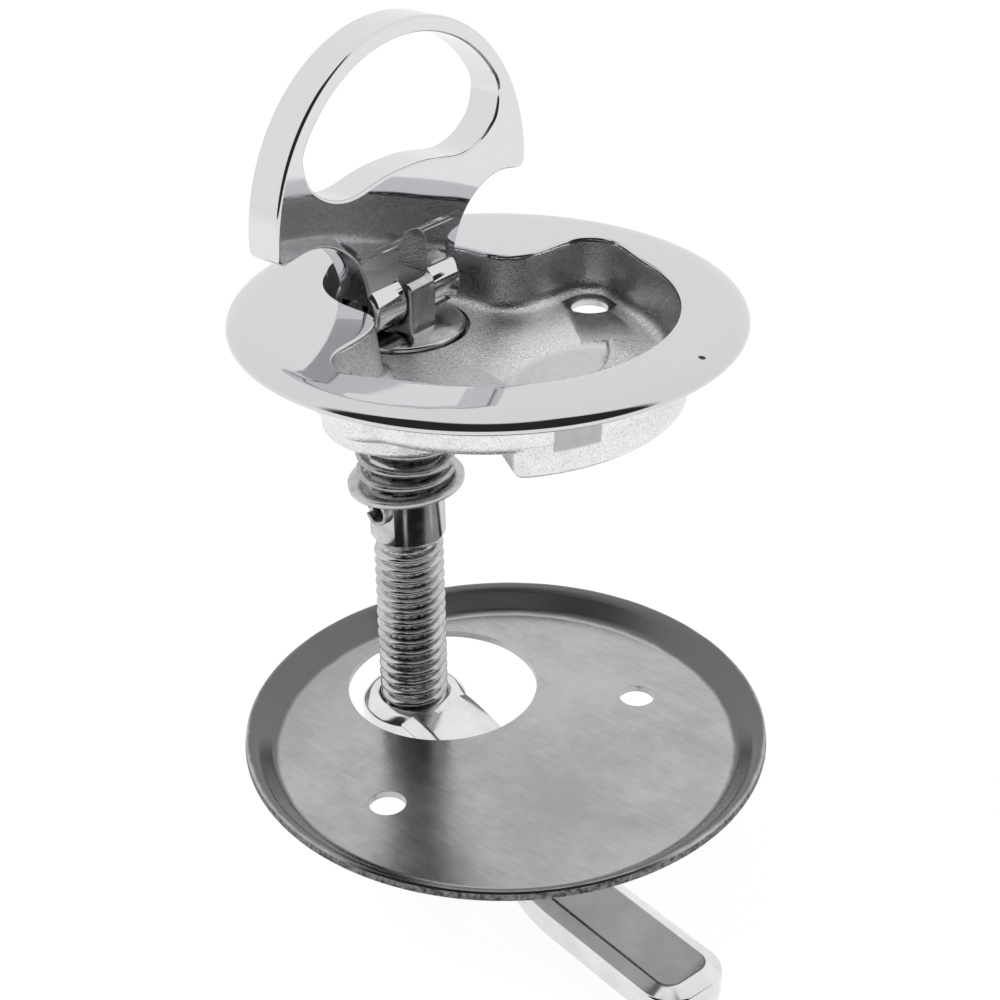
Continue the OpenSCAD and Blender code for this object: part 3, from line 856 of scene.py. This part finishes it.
plate.modifiers[-1].angle_limit = math.radians(70)
bpy.ops.object.modifier_apply(modifier=plate.modifiers[-1].name)
bpy.ops.object.shade_smooth_by_angle(angle=math.radians(35))
bpy.ops.object.modifier_add(type="WEIGHTED_NORMAL")
plate.modifiers[-1].keep_sharp = True
bpy.ops.object.modifier_apply(modifier=plate.modifiers[-1].name)
to_metres(plate, "dished_back_plate")

sheet_metal, tree, shader, place = metal("rubbed_sheet", (0.2, 0.195, 0.2), 0.36)
clouds = noise(tree, place, 34, 5, 0.62, 0.4)
specks = noise(tree, place, 210, 4, 0.7)
stretched = add(tree, "ShaderNodeMapping", Rotation=(0, 0, 0.7), Scale=(0.12, 1, 1))
tree.links.new(place, stretched.inputs["Vector"])
brush = noise(tree, stretched.outputs["Vector"], 1500, 3, 0.6)
tone = sum_of(tree, "ADD", sum_of(tree, "MULTIPLY", clouds, 0.6),
              sum_of(tree, "ADD", sum_of(tree, "MULTIPLY", specks, 0.25), sum_of(tree, "MULTIPLY", brush, 0.15)))
from_middle = add(tree, "ShaderNodeVectorMath", operation="DISTANCE")
tree.links.new(place, from_middle.inputs[0])
from_middle.inputs[1].default_value = (0.00332, -0.00102, -0.0635)
shaded_rim_distance = sum_of(tree, "ADD", from_middle.outputs["Value"], sum_of(tree, "MULTIPLY", specks, 0.0008))
# The upturned rim of the dish is painted near black: painted shade, standing for the dark that the rim mirrors.
bend = sum_of(tree, "MULTIPLY", between(tree, shaded_rim_distance, 0.0369, 0.0378), between(tree, shaded_rim_distance, 0.0424, 0.0417))
sheet = blend_of(tree, between(tree, tone, 0.36, 0.64), (0.36, 0.35, 0.355), (0.50, 0.485, 0.49))
tree.links.new(blend_of(tree, bend, sheet, (0.15, 0.145, 0.15)), shader.inputs["Base Color"])
tree.links.new(between(tree, clouds, 0.3, 0.7, 0.16, 0.26), shader.inputs["Roughness"])
normal = bumped(tree, brush, 0.06, 0.00015)
tree.links.new(bumped(tree, specks, 0.05, 0.0003, normal), shader.inputs["Normal"])
edge_metal, tree, shader, place = metal("sheared_edge", (0.16, 0.16, 0.16), 0.5)
torn = noise(tree, place, 1300, 4, 0.7)
tree.links.new(blend_of(tree, between(tree, torn, 0.35, 0.65), (0.05, 0.05, 0.05), (0.3, 0.3, 0.3)),
               shader.inputs["Base Color"])
tree.links.new(between(tree, torn, 0.3, 0.7, 0.4, 0.6), shader.inputs["Roughness"])
tree.links.new(bumped(tree, torn, 0.6, 0.0003), shader.inputs["Normal"])
plate.data.materials.clear()
plate.data.materials.append(sheet_metal)
plate.data.materials.append(edge_metal)
plate_x = 6.4 - 3.2 * math.cos(math.radians(-15.9))
plate_y = -1.9 - 3.2 * math.sin(math.radians(-15.9))
for face in plate.data.polygons:
    out = math.hypot(face.center.x * 1000 - plate_x, face.center.y * 1000 - plate_y)
    face.material_index = 1 if out > 41.78 and face.normal.z > -0.75 else 0
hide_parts("back_plate")
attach(plate, "base")

# Floor, light and camera. The floor is plain and pale, the light is soft, and the background is white
# to the camera and to the metal that mirrors it.
bpy.ops.object.select_all(action="DESELECT")
bpy.ops.mesh.primitive_grid_add(x_subdivisions=4, y_subdivisions=4, size=6, location=(0, 0, -0.0858))
floor = bpy.context.object
floor.name = "floor"
bpy.ops.object.transform_apply(location=True, rotation=True, scale=True)
floor_paint = bpy.data.materials.new("floor_paint")
floor_paint.use_nodes = True
tree = floor_paint.node_tree
tree.nodes["Principled BSDF"].inputs["Base Color"].default_value = (0.86, 0.86, 0.86, 1)
tree.nodes["Principled BSDF"].inputs["Roughness"].default_value = 0.9
tree.nodes["Principled BSDF"].inputs["Specular IOR Level"].default_value = 0.0
glow = add(tree, "ShaderNodeEmission", Strength=1.08)
path = tree.nodes.new("ShaderNodeLightPath")
direct = sum_of(tree, "MAXIMUM", path.outputs["Is Camera Ray"],
                sum_of(tree, "MAXIMUM", path.outputs["Is Glossy Ray"], path.outputs["Is Transmission Ray"]))
share = tree.nodes.new("ShaderNodeMixShader")
tree.links.new(sum_of(tree, "MULTIPLY", direct, 0.85), share.inputs["Fac"])
tree.links.new(tree.nodes["Principled BSDF"].outputs[0], share.inputs[1])
tree.links.new(glow.outputs[0], share.inputs[2])
tree.links.new(share.outputs[0], tree.nodes["Material Output"].inputs["Surface"])
floor.data.materials.append(floor_paint)

world = bpy.data.worlds.new("studio")
bpy.context.scene.world = world
world.use_nodes = True
tree = world.node_tree
around = tree.nodes["Background"]
path = tree.nodes.new("ShaderNodeLightPath")
direct = sum_of(tree, "MAXIMUM", path.outputs["Is Camera Ray"],
                sum_of(tree, "MAXIMUM", path.outputs["Is Glossy Ray"], path.outputs["Is Transmission Ray"]))
tree.links.new(sum_of(tree, "ADD", sum_of(tree, "MULTIPLY", direct, 0.45), 0.55), around.inputs["Strength"])
around.inputs["Color"].default_value = (1, 1, 1, 1)


# Dark curtain: the unlit side of the room behind the camera, which the polished metal mirrors above the
# floor. Everything else round the latch is white.
bpy.ops.object.select_all(action="DESELECT")
bpy.ops.mesh.primitive_uv_sphere_add(segments=48, ring_count=24, radius=1.2, location=(0, 0, 0))
curtain = bpy.context.object
curtain.name = "curtain"
bpy.ops.object.shade_smooth()
cloth = bpy.data.materials.new("dark_curtain")
cloth.use_nodes = True
tree = cloth.node_tree
tree.nodes.remove(tree.nodes["Principled BSDF"])
towards = add(tree, "ShaderNodeVectorMath", operation="NORMALIZE")
tree.links.new(tree.nodes.new("ShaderNodeTexCoord").outputs["Object"], towards.inputs[0])
axes = tree.nodes.new("ShaderNodeSeparateXYZ")
tree.links.new(towards.outputs["Vector"], axes.inputs[0])
level = tree.nodes.new("ShaderNodeCombineXYZ")
tree.links.new(axes.outputs["X"], level.inputs["X"])
tree.links.new(axes.outputs["Y"], level.inputs["Y"])
sideways = add(tree, "ShaderNodeVectorMath", operation="NORMALIZE")
tree.links.new(level.outputs[0], sideways.inputs[0])
facing = add(tree, "ShaderNodeVectorMath", operation="DOT_PRODUCT")
tree.links.new(sideways.outputs["Vector"], facing.inputs[0])
facing.inputs[1].default_value = (0.643, -0.766, 0)
closed = sum_of(tree, "MULTIPLY", between(tree, facing.outputs["Value"], 0.26, 0.44),
                sum_of(tree, "MULTIPLY", between(tree, axes.outputs["Z"], -0.03, 0.03),
                       between(tree, axes.outputs["Z"], 0.995, 0.93)))
dark = add(tree, "ShaderNodeEmission", Color=(0.03, 0.03, 0.032, 1), Strength=1.0)
share = tree.nodes.new("ShaderNodeMixShader")
tree.links.new(closed, share.inputs["Fac"])
tree.links.new(tree.nodes.new("ShaderNodeBsdfTransparent").outputs[0], share.inputs[1])
tree.links.new(dark.outputs[0], share.inputs[2])
tree.links.new(share.outputs[0], tree.nodes["Material Output"].inputs["Surface"])
curtain.data.materials.append(cloth)
curtain.visible_camera = False
curtain.visible_diffuse = False
curtain.visible_transmission = False
curtain.visible_shadow = False


def lamp(name, place, size, power):
    bpy.ops.object.light_add(type="AREA", location=place)
    light = bpy.context.object
    light.name = name
    light.data.shape = "DISK"
    light.data.size = size
    light.data.energy = power
    light.visible_glossy = False
    light.rotation_euler = (Vector((0, 0, -0.03)) - Vector(place)).to_track_quat("-Z", "Y").to_euler()


lamp("soft_key", (-0.55, -0.45, 0.75), 0.5, 7)
lamp("soft_fill", (0.75, 0.25, 0.5), 0.5, 3)

bpy.ops.object.camera_add(location=(0.160256, -0.189857, 0.119625))
camera = bpy.context.object
right = Vector((0.771633, 0.635981, -0.010544))
up = Vector((-0.306292, 0.386049, 0.870144))
back = right.cross(up)
camera.matrix_world = Matrix((
    (right.x, up.x, back.x, 0.160256), (right.y, up.y, back.y, -0.189857), (right.z, up.z, back.z, 0.119625),
    (0, 0, 0, 1)))
camera.data.lens = 67.126
camera.data.sensor_width = 36
camera.data.clip_start = 0.01
bpy.context.scene.camera = camera
bpy.context.scene.view_settings.view_transform = "Standard"
